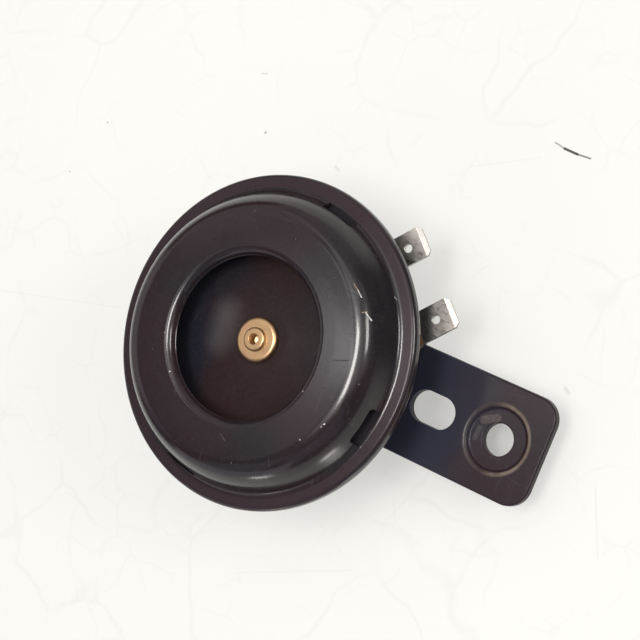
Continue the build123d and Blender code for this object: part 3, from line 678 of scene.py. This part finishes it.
# ------------------------------------------------------------------ diaphragm
diaphragm_path = [
    (STACK_R, Z_DIA), (27.0, Z_DIA, 0.5), (26.0, Z_DIA + 0.75, 0.7), (25.0, Z_DIA + 0.1, 0.5),
    (23.4, Z_DIA + 0.15, 6.0), (6.3, DIA_Z, 4.0), (SPIGOT_R, DIA_Z),
]
diaphragm, _ = lathe("diaphragm_disc", sheet_profile(diaphragm_path, DIA_T, 1, 0.08), segs=320, step=4, most=0.8)
dress(diaphragm, diaphragm_black, None, "diaphragm")
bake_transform(diaphragm)

# ------------------------------------------------------------------ washer and armature
WASHER_Z = DIA_Z + WASHER_T
washer, _ = lathe("armature_washer_turned", [(SPIGOT_R, DIA_Z, 0.1), (WASHER_R, DIA_Z, 0.25), (WASHER_R, WASHER_Z, 0.75), (SPIGOT_R, WASHER_Z, 0.04)], segs=160, step=8, most=0.5)
dress(washer, yellow_zinc, "armature", "armature_washer")
ARM_TOP, BACK_Z, ARM_R, COLLAR_R = -4.65, DIA_Z - DIA_T - 0.8, 5.0, 7.2
armature, _ = lathe(
    "armature_turned",
    [
        (0, -11.0), (ARM_R, -11.0, 0.4), (ARM_R, ARM_TOP + 0.02, 0.08), (COLLAR_R, ARM_TOP + 0.02, 0.2),
        (COLLAR_R, ARM_TOP + 0.9, 0.2), (ARM_R, ARM_TOP + 0.9, 0.08), (ARM_R, BACK_Z, 0.08), (SPIGOT_R, BACK_Z, 0.08),
        (SPIGOT_R, WASHER_Z, 0.02), (BOSS_R, WASHER_Z, 0.02), (BOSS_R, BOSS_Z, 0.45), (BOSS_HOLE_R, BOSS_Z, 0.12),
        (BOSS_HOLE_R, BOSS_Z - 2.2, 0.1), (0, BOSS_Z - 2.5),
    ],
    segs=160, closed=False, step=8, most=0.6,
)
dress(armature, yellow_zinc, "armature", "armature")


# ------------------------------------------------------------------ bracket
def bracket_mesh():
    """The strap: outline, slot, stud hole and the dimpled bolt hole, every edge with its own small radius."""
    verts, norms, faces = [], [], []

    def ring(pts):
        i = len(verts)
        for p, n in pts:
            verts.append(p)
            norms.append(n)
        return list(range(i, i + len(pts)))

    def wall(rings, flip):
        for a, b in zip(rings, rings[1:]):
            m = len(a)
            for j in range(m):
                k = (j + 1) % m
                f = [a[j], a[k], b[k], b[j]]
                faces.append(f[::-1] if flip else f)

    hw = BR_W / 2
    out = []
    n = 96
    for j in range(n + 1):      # half circle at the stud, going from +Y over -X to -Y
        t = math.pi / 2 + math.pi * j / n
        out.append((hw * math.cos(t), hw * math.sin(t), math.cos(t), math.sin(t)))
    for k in range(1, 40):
        out.append(((BR_END - BR_CORNER) * k / 40, -hw, 0, -1))
    for cy, a0 in ((-hw + BR_CORNER, -90), (hw - BR_CORNER, 0)):
        for j in range(25):
            t = math.radians(a0 + 90 * j / 24)
            out.append((BR_END - BR_CORNER + BR_CORNER * math.cos(t), cy + BR_CORNER * math.sin(t), math.cos(t), math.sin(t)))
    for k in range(1, 40):
        out.append(((BR_END - BR_CORNER) * (1 - k / 40), hw, 0, 1))
    slot = []
    half, rad = (10.0 - 6.5) / 2, 3.25
    for cx, a0 in ((30.9 + half, -90), (30.9 - half, 90)):
        for j in range(37):
            t = math.radians(a0 + 180 * j / 36)
            slot.append((cx + rad * math.cos(t), rad * math.sin(t), -math.cos(t), -math.sin(t)))
    pivot = [(4.08 * math.cos(t), 4.08 * math.sin(t), -math.cos(t), -math.sin(t)) for t in (i * 2 * math.pi / 72 for i in range(72))]

    def edge_rings(loop, top, low, flip):
        rs = []
        for j in range(7):
            w = math.pi / 2 * j / 6
            d, z = top * (1 - math.sin(w)), BR_Z - top * (1 - math.cos(w))
            rs.append(ring([((x - nx * d, y - ny * d, z), (nx * math.sin(w), ny * math.sin(w), math.cos(w))) for x, y, nx, ny in loop]))
        for j in range(6):
            w = math.pi / 2 * j / 5
            d, z = low * (1 - math.cos(w)), BR_Z - BR_T + low * (1 - math.sin(w))
            rs.append(ring([((x - nx * d, y - ny * d, z), (nx * math.cos(w), ny * math.cos(w), -math.sin(w))) for x, y, nx, ny in loop]))
        wall(rs, flip)
        return rs[0], rs[-1]

    tops, lows = [], []
    for loop, t, l, flip in ((out, 0.4, 0.2, True), (slot, 0.16, 0.12, False), (pivot, 0.15, 0.1, False)):
        a, b = edge_rings(loop, t, l, flip)
        tops.append(a)
        lows.append(b)
    # dimple, turned about the bolt hole
    front = [(3.2, BR_Z - 1.6, 0), (3.2, BR_Z - 0.88, 0.25), (5.95, BR_Z - 0.88, 0.45), (6.6, BR_Z, 1.0), (8.2, BR_Z, 0)]
    rear = [(8.2, BR_Z - BR_T, 0), (5.95, BR_Z - BR_T, 0.35), (4.75, BR_Z - BR_T - 0.9, 0.5), (3.2, BR_Z - BR_T - 0.9, 0.15), (3.2, BR_Z - 1.7, 0)]
    for path, which in ((front, tops), (rear, lows)):
        pos, nor = rounded([(p[0], p[1], p[2]) for p in path], False, 7)
        pos, nor = filled(pos, nor, False, 0.5)
        rs = []
        for (r, z), (u, w) in zip(pos, nor):
            rs.append(ring([((HX + r * math.cos(t), r * math.sin(t), z), (-u * math.cos(t), -u * math.sin(t), -w)) for t in (i * 2 * math.pi / 128 for i in range(128))]))
        wall(rs, True)
        which.append(rs[-1] if which is tops else rs[0])
        if which is tops:
            inner_top = rs[0]
        else:
            wall([rs[-1], inner_top], True)
    ob = mesh_object("bracket_strap", verts, faces)
    bm = bmesh.new()
    bm.from_mesh(ob.data)
    bm.verts.ensure_lookup_table()
    lay = bm.faces.layers.int.new("flat")
    for loops, up in ((tops, 1), (lows, -1)):
        edges = []
        for lp in loops:
            m = len(lp)
            for j in range(m):
                e = bm.edges.get((bm.verts[lp[j]], bm.verts[lp[(j + 1) % m]]))
                edges.append(e)
        got = bmesh.ops.triangle_fill(bm, use_beauty=True, use_dissolve=False, edges=edges)
        for f in got["geom"]:
            if isinstance(f, bmesh.types.BMFace):
                f[lay] = up
                f.normal_update()
                if f.normal.z * up < 0:
                    f.normal_flip()
    bm.to_mesh(ob.data)
    bm.free()
    me = ob.data
    me.polygons.foreach_set("use_smooth", [True] * len(me.polygons))
    me.normals_split_custom_set_from_vertices([tuple(v) for v in norms])
    return ob


bracket = bracket_mesh()
dress(bracket, bracket_black, "bracket", "bracket")

# ------------------------------------------------------------------ terminals, fasteners and boards
for node in ("terminal_upper", "terminal_lower"):
    dress(own_copy(node, node + "_blade", bevel=0.07, angle=6), nickel, "horn", node)
dress(own_copy("terminal_rivets", "terminal_rivets_headed", bevel=0.05), zinc, "horn", "terminal_rivets")
dress(own_copy("terminal_insulator_outer", "terminal_board_outer", bevel=0.08), phenolic, "horn", "terminal_insulator_outer")
dress(own_copy("bracket_nut", "bracket_nut_hex", bevel=0.12), zinc, "horn", "bracket_nut")
dress(own_copy("lock_washer", "lock_washer_split", bevel=0.12), zinc, "horn", "lock_washer")
dress(own_copy("tone_screw", "tone_screw_hex", bevel=0.08), zinc, "tone_screw", "tone_screw")
dress(own_copy("screw_bush", "screw_bush_turned", bevel=0.08), zinc, "horn", "screw_bush")

# the stud, with its thread
CORE_TOP, CUP_IN, STUD_END, PITCH = -11.8, CUP_Z + SHEET, BR_Z - BR_T - 0.02 - 1.6 - 6.5 + 0.2, 1.25


def stud_mesh():
    segs = 96
    outline = [(0, CORE_TOP), (4.6, CORE_TOP), (4.88, CORE_TOP - 0.12), (5.0, CORE_TOP - 0.4), (5.0, CUP_IN), (STUD_R, CUP_IN), (STUD_R, BR_Z - 1.0)]
    z = BR_Z - 1.0
    while z > STUD_END + 1e-6:
        z = max(z - PITCH / 10, STUD_END)
        outline.append((STUD_R if z > STUD_END + 0.8 else STUD_R - 0.8 + (z - STUD_END), z))
    outline.append((0, STUD_END))
    verts, faces, index = [], [], []
    for r, z in outline:
        if r < 1e-6:
            index.append([len(verts)] * segs)
            verts.append((0, 0, z))
            continue
        index.append(list(range(len(verts), len(verts) + segs)))
        for j in range(segs):
            t = 2 * math.pi * j / segs
            rr = r
            if z < BR_Z - 1.0 - 1e-6:
                w = (z / PITCH - j / segs) % 1.0
                rr = min(r, STUD_R - 0.62 * max(0.0, 1 - abs(w - 0.5) / 0.42) * min(1.0, (BR_Z - 1.0 - z) / 0.8))
            verts.append((rr * math.cos(t), rr * math.sin(t), z))
    for a, b in zip(index, index[1:]):
        for j in range(segs):
            k = (j + 1) % segs
            f = [a[j], b[j], b[k], a[k]]
            f = [v for x, v in enumerate(f) if v not in f[:x]]
            if len(f) > 2:
                faces.append(f)
    ob = mesh_object("core_stud_threaded", verts, faces)
    ob.data.set_sharp_from_angle(angle=math.radians(32))
    return ob


dress(stud_mesh(), steel, "horn", "core_stud")

# the contact leaf, which bends with the armature, cut at short steps along its length
leaf = own_copy("contact_leaf", "contact_leaf_sprung", bevel=0.0)
bm = bmesh.new()
bm.from_mesh(leaf.data)
along = Vector((math.cos(math.radians(225)), math.sin(math.radians(225)), 0))
for i in range(1, 30):
    at = row(tuple(along * (6.0 + 0.55 * i)) )
    bmesh.ops.bisect_plane(bm, geom=bm.verts[:] + bm.edges[:] + bm.faces[:], plane_co=Vector((at.x, at.y, 0)), plane_no=along)
bm.to_mesh(leaf.data)
bm.free()
leaf.data.set_sharp_from_angle(angle=math.radians(30))
dress(leaf, bronze, None, "contact_leaf")
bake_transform(leaf)

INNER = {
    "front_gasket": paper, "rear_gasket": paper, "armature_backing_washer": steel, "pole_plate": steel,
    "coil_bobbin": nylon, "coil_winding": copper, "contact_insulator_block": phenolic, "contact_insulator_spacer": phenolic,
    "fixed_contact_plate": bronze, "fixed_contact": tungsten, "moving_contact": tungsten,
    "contact_rivet": zinc, "terminal_insulator_inner": phenolic, "lead_coil_to_terminal": insulation,
    "lead_coil_to_contact": insulation, "lead_contact_to_terminal": insulation,
}
for node, mat in INNER.items():
    ob = NODES[node]
    for s in ob.material_slots:
        s.material = mat
    if not ob.material_slots:
        ob.data.materials.append(mat)

# ------------------------------------------------------------------ floor
FLOOR_Z = -0.00722
FLOOR_A, FLOOR_B = (0.187, 0.186, 0.180), (0.193, 0.192, 0.186)
bm = bmesh.new()
bmesh.ops.create_grid(bm, x_segments=8, y_segments=8, size=1.6)
me = bpy.data.meshes.new("floor")
bm.to_mesh(me)
bm.free()
floor = bpy.data.objects.new("floor", me)
floor.location = (HX / -1000, 0, FLOOR_Z)
bpy.context.scene.collection.objects.link(floor)
m = Mat("pale_floor")
m.obj = m.new("ShaderNodeNewGeometry").outputs["Position"]
patch = m.ramp(m.noise(9, 3.0, 0.55), 0.35, 0.7)
col = m.mix(patch, FLOOR_A, FLOOR_B)
t = m.new("ShaderNodeTexNoise")
m.link(m.obj, t.inputs["Vector"])
t.inputs["Scale"].default_value = 55
wander = m.vec("ADD", m.obj, m.vec("SCALE", m.vec("SUBTRACT", t.outputs["Color"], (0.5, 0.5, 0.5)), 0.012))
lit = m.ramp(m.noise(6.5, 4.0, 0.6), 0.3, 0.72, 0.985, 1.0)
for scale, width, deep, seed in ((38, 0.030, 0.045, 3.1), (95, 0.04, 0.030, 7.7)):
    v = m.new("ShaderNodeTexVoronoi", feature="DISTANCE_TO_EDGE")
    m.link(m.vec("ADD", wander, (seed, seed, 0)), v.inputs["Vector"])
    v.inputs["Scale"].default_value = scale
    line = m.math("MULTIPLY", m.ramp(v.outputs["Distance"], 0.0, width, 1.0, 0.0), m.ramp(m.noise(scale * 0.8, 3.0, 0.6, vec=m.vec("ADD", m.obj, (seed, 0, 0))), 0.46, 0.62))
    lit = m.math("MULTIPLY", lit, m.math("SUBTRACT", 1.0, m.math("MULTIPLY", line, deep)))
v = m.new("ShaderNodeTexVoronoi", feature="F1")
m.link(m.obj, v.inputs["Vector"])
v.inputs["Scale"].default_value = 110
keep = m.ramp(m.vec("DOT_PRODUCT", v.outputs["Color"], (0.33, 0.33, 0.34)), 0.84, 0.85)
col = m.mix(m.math("MULTIPLY", m.math("MULTIPLY", m.ramp(v.outputs["Distance"], 0.03, 0.05, 1.0, 0.0), keep), 0.10), col, (0.1, 0.1, 0.09))
DARK = (0.0, 0.0, 0.0)
for p, q, w, f in (
    ((28.9, 57.4), (31.2, 56.9), 0.20, 0.55), ((31.2, 56.9), (34.2, 56.7), 0.34, 0.9), ((34.2, 56.7), (37.1, 56.8), 0.24, 0.7), ((-35.3, 38.1), (-35.2, 38.1), 0.38, 0.45),
    ((-15.8, 36.9), (-14.8, 36.4), 0.45, 0.13), ((50.7, 13.6), (51.7, 13.0), 0.55, 0.13), ((64.0, -1.4), (69.8, -13.3), 0.24, 0.07),
    ((-75.9, 27.0), (-75.8, 27.0), 0.34, 0.35), ((-80.9, 13.3), (-80.8, 13.3), 0.32, 0.30), ((-41.7, 49.7), (-40.4, 50.1), 0.22, 0.22),
    ((-87.0, -18.5), (-53.7, -9.9), 0.16, 0.05), ((13.5, 47.0), (27.1, 53.6), 0.2, 0.05), ((-1.4, -49.9), (23.1, -37.9), 0.2, 0.04),
):
    lit = m.math("MULTIPLY", lit, m.math("SUBTRACT", 1.0, m.math("MULTIPLY", m.segment(p, q, w), f)))
# painted shadow under the bracket, on the board seen through its slot and its bolt hole: darker colour and less glow
# there
lit = m.math("MULTIPLY", lit, m.math("SUBTRACT", 1.0, m.math("MULTIPLY", m.segment((22.8, -1.2), (30.8, -2.8), 5.5, soft=0.5), 0.13)))
lit = m.math("MULTIPLY", lit, m.math("SUBTRACT", 1.0, m.math("MULTIPLY", m.segment((41.7, -1.2), (42.7, -1.4), 5.5, soft=0.5), 0.26)))
col = m.mix(lit, DARK, col)
m.set(color=col, rough=0.6, spec=0.2, normal=m.bump(m.noise(420, 3.0), 0.00002))
m.b.inputs["Emission Color"].default_value = (1.0, 0.995, 0.955, 1)
m.link(m.math("MULTIPLY", lit, 0.49), m.b.inputs["Emission Strength"])      # stands for the light that the pale board passes on under the part
floor.data.materials.append(m.m)

# ------------------------------------------------------------------ camera
cam = bpy.data.cameras.new("camera")
cam.sensor_fit = "HORIZONTAL"
cam.sensor_width = 36.0
cam.lens = 101.25
cam.clip_start, cam.clip_end = 0.01, 20
cam_ob = bpy.data.objects.new("camera", cam)
rot = Matrix((
    (0.7963663695575817, -0.3616320218702997, 0.48479159047540793),
    (0.3747301909050898, 0.9241893085304846, 0.07383363747086981),
    (-0.47473981238349044, 0.1228674194241253, 0.8715077210112047),
))
cam_ob.matrix_world = Matrix.Translation((0.1314542, 0.03379446, 0.32079229)) @ rot.to_4x4()
bpy.context.scene.collection.objects.link(cam_ob)
bpy.context.scene.camera = cam_ob

# ------------------------------------------------------------------ light
world = bpy.data.worlds.new("studio")
bpy.context.scene.world = world
world.use_nodes = True
bg = world.node_tree.nodes["Background"]
bg.inputs[0].default_value = (0.750, 0.755, 0.735, 1)
bg.inputs[1].default_value = 0.82
world.cycles_visibility.glossy = False      # the room fills the shadows, and only the soft boxes show in the gloss
TARGET = Vector((-0.03, 0, 0.01))


def panel(name, az, za, wide, high, radiance, distance=1.3):
    """A soft box seen from the horn at that azimuth and angle from straight up, that many degrees wide and high."""
    a, z = math.radians(az), math.radians(za)
    d = Vector((math.sin(z) * math.cos(a), math.sin(z) * math.sin(a), math.cos(z)))
    up = Vector((0, 0, 1)) if za > 3 else Vector((math.cos(a + math.pi / 2), math.sin(a + math.pi / 2), 0))
    x = up.cross(d).normalized()
    y = d.cross(x).normalized()
    li = bpy.data.lights.new(name, "AREA")
    li.shape = "RECTANGLE"
    li.size, li.size_y = (2 * distance * math.tan(math.radians(v / 2)) for v in (wide, high))
    most = max(radiance)
    li.energy = math.pi * li.size * li.size_y * most
    li.color = [v / most for v in radiance]
    ob = bpy.data.objects.new(name, li)
    ob.matrix_world = Matrix.Translation(TARGET + d * distance) @ Matrix((x, y, d)).transposed().to_4x4()
    bpy.context.scene.collection.objects.link(ob)
    return ob


for args in (
    ("overhead", 10, 8.5, 24, 13, (30.0, 28.9, 28.2)),
    ("overhead_spill", 10, 7, 40, 30, (1.5, 1.46, 1.45)),
    ("overhead_far", 190, 6, 34, 10, (0.9, 0.93, 0.95)),
    ("ceiling_a", 186, 15, 26, 10, (0.6, 0.58, 0.58)),
    ("ceiling_b", 189, 24.2, 3.0, 10.2, (8.4, 8.15, 8.2)),
    ("ceiling_b_near", 186, 12.8, 5, 13, (7.0, 6.8, 6.8)),
    ("ceiling_side", 165, 21, 10, 10, (2.2, 2.14, 2.16)),
    ("ceiling_b_spill", 186, 24, 20, 10, (0.5, 0.48, 0.49)),
    ("ceiling_c", 190, 36, 40, 13, (0.10, 0.095, 0.105)),
    ("wall_192", 192, 70, 34, 34, (0.55, 0.54, 0.55)),
    ("between", 18, 28, 30, 20, (0.9, 0.88, 0.88)),
    ("lamp", 31, 56, 19, 13, (17.5, 16.9, 16.5)),
    ("lamp_spill", 33, 48, 55, 50, (0.80, 0.78, 0.78)),
    ("kick_95", 95, 24, 30, 20, (1.6, 1.6, 1.6)),
    ("wall_100", 100, 48, 45, 36, (0.45, 0.45, 0.45)),
    ("wall_100_low", 100, 78, 60, 24, (0.50, 0.48, 0.50)),
    ("wall_150", 150, 50, 40, 40, (0.60, 0.59, 0.58)),
    ("wall_200", 200, 62, 40, 26, (0.32, 0.31, 0.37)),
    ("wall_250", 255, 52, 30, 34, (0.40, 0.40, 0.46)),
    ("wall_260_low", 260, 78, 60, 24, (0.90, 0.90, 0.98)),
    ("wall_310", 310, 60, 45, 40, (0.32, 0.32, 0.40)),
):
    panel(*args)
panel("fill", 35, 45, 60, 50, (1.0, 0.985, 0.97)).visible_glossy = False

# a dark card beyond the bracket's end, faded at its edges, which only the gloss sees
card = []
for r, z in ((62.0, 0.3), (90.0, 0.3), (118.0, 0.3), (118.0, 62.0)):
    card += [(r * math.cos(math.radians(a)), r * math.sin(math.radians(a)), z - HZ - 7.2) for a in range(-12, 85, 4)]
n = len(card) // 4
flag = mesh_object("dark_card", card, [[k * n + i, k * n + i + 1, k * n + n + i + 1, k * n + n + i] for k in range(3) for i in range(n - 1)])
m = Mat("card_black")
x = m.new("ShaderNodeSeparateXYZ")
m.link(m.shifted((0, 0, 0)), x.inputs[0])
turn = m.math("ARCTAN2", x.outputs[1], x.outputs[0])
reach = m.vec("LENGTH", m.vec("MULTIPLY", m.shifted((0, 0, 0)), (1, 1, 0)))
ends = m.math("MULTIPLY", m.ramp(turn, math.radians(-8), math.radians(22)), m.ramp(turn, math.radians(58), math.radians(80), 1.0, 0.0))
m.set(color=m.mix(m.noise(30), (0.012, 0.012, 0.015), (0.02, 0.02, 0.024)), rough=0.9, spec=0.1)
m.link(m.math("MULTIPLY", ends, m.ramp(reach, 0.062, 0.098)), m.b.inputs["Alpha"])
flag.data.materials.append(m.m)
flag.visible_camera = flag.visible_diffuse = flag.visible_shadow = False

# two small lit cards low down past the front edge, which only the gloss sees
for name, at, turn, wide, high, tilt, power in (
    ("low_card_a", (80.6, -79.7, -27.0), 310, 30, 56, 0, 10.0),
    ("low_card_b", (20.5, -165.0, -8.0), 272, 46, 9, 90, 17.0),
):
    a, t = math.radians(turn), math.radians(tilt)
    out, side = Vector((math.cos(a), math.sin(a), 0)), Vector((-math.sin(a), math.cos(a), 0))
    rise = out * math.cos(t) + Vector((0, 0, 1)) * math.sin(t)
    mid = Vector(at)
    ob = mesh_object(name, [tuple(mid + side * (wide / 2 * i) + rise * (high / 2 * j)) for i, j in ((-1, -1), (1, -1), (1, 1), (-1, 1))], [[0, 1, 2, 3]])
    m = Mat(name)
    rel = m.shifted(at)
    f = m.math("MULTIPLY", m.ramp(m.math("ABSOLUTE", m.vec("DOT_PRODUCT", rel, tuple(side))), wide * 0.15 / 1000, wide * 0.5 / 1000, 1.0, 0.0),
               m.ramp(m.math("ABSOLUTE", m.vec("DOT_PRODUCT", rel, tuple(rise))), high * 0.15 / 1000, high * 0.5 / 1000, 1.0, 0.0))
    m.set(color=m.mix(m.noise(40), (0.02, 0.02, 0.02), (0.03, 0.03, 0.03)), rough=0.9, spec=0.0)
    m.b.inputs["Emission Color"].default_value = (1.0, 0.95, 0.91, 1) if tilt == 0 else (1.0, 0.99, 0.96, 1)
    m.b.inputs["Emission Strength"].default_value = power
    m.link(f, m.b.inputs["Alpha"])
    ob.data.materials.append(m.m)
    ob.visible_camera = ob.visible_diffuse = ob.visible_shadow = False

scene = bpy.context.scene
scene.view_settings.view_transform = "Standard"
scene.view_settings.look = "None"
scene.view_settings.exposure = 0.0

# ------------------------------------------------------------------ update
bpy.context.view_layer.update()
